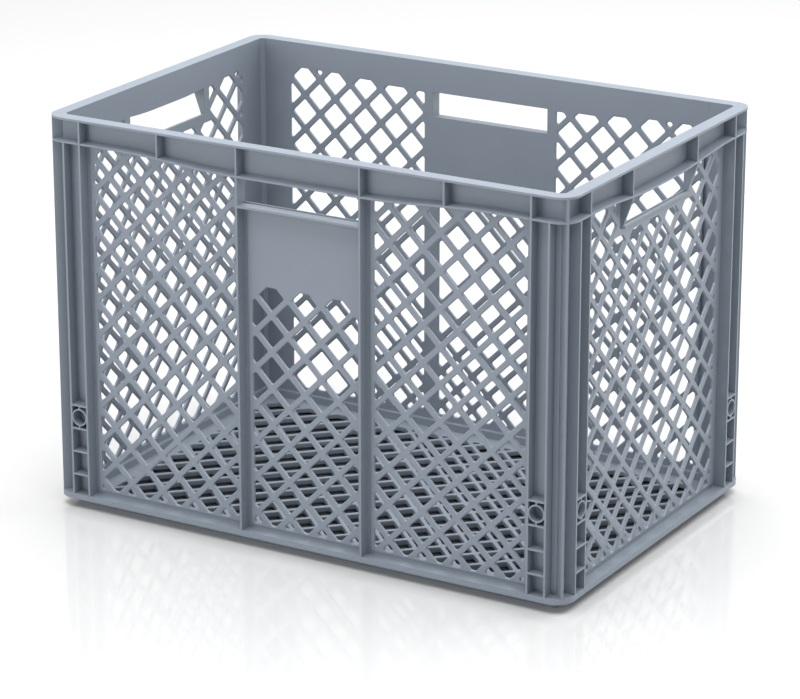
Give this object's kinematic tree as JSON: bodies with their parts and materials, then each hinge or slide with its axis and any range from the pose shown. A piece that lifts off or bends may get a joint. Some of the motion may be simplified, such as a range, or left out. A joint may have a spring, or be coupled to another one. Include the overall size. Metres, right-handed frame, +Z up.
{
  "type": "poultry transport crate",
  "caption": "Open-topped stacking crate with perforated lattice walls and floor, ribbed corner posts, hand openings on every side and a stacking foot, for moving live birds.",
  "frame": {"origin": "centre of the crate's plan, on the plane that the stacking foot stands on", "axes": "+X along the long side, +Y along the short side, +Z up out of the open top; the front is the long side at -Y"},
  "size_m": [0.6, 0.4, 0.42],
  "materials": {
    "crate_plastic": "satin moulded polyethylene in blue grey, clean, with softly rounded edges"
  },
  "bodies": {
    "root": {"base_flange_back": "crate_plastic", "base_flange_front": "crate_plastic", "base_flange_left": "crate_plastic", "base_flange_right": "crate_plastic", "cheek_left_back": "crate_plastic", "cheek_left_front": "crate_plastic", "cheek_right_back": "crate_plastic", "cheek_right_front": "crate_plastic", "corner_post_back_left": "crate_plastic", "corner_post_back_right": "crate_plastic", "corner_post_front_left": "crate_plastic", "corner_post_front_right": "crate_plastic", "floor_lattice": "crate_plastic", "lattice_back_left": "crate_plastic", "lattice_back_right": "crate_plastic", "lattice_front_left": "crate_plastic", "lattice_front_right": "crate_plastic", "lattice_left": "crate_plastic", "lattice_right": "crate_plastic", "ledge_back": "crate_plastic", "ledge_front": "crate_plastic", "ledge_left": "crate_plastic", "ledge_right": "crate_plastic", "middle_wall_back": "crate_plastic", "middle_wall_front": "crate_plastic", "rib_back_left": "crate_plastic", "rib_back_right": "crate_plastic", "rib_front_left": "crate_plastic", "rib_front_right": "crate_plastic", "rim_back": "crate_plastic", "rim_front": "crate_plastic", "rim_left": "crate_plastic", "rim_right": "crate_plastic", "stacking_foot_back": "crate_plastic", "stacking_foot_front": "crate_plastic", "stacking_foot_left": "crate_plastic", "stacking_foot_right": "crate_plastic", "wing_left_back": "crate_plastic", "wing_left_front": "crate_plastic", "wing_right_back": "crate_plastic", "wing_right_front": "crate_plastic"}
  },
  "joints": []
}
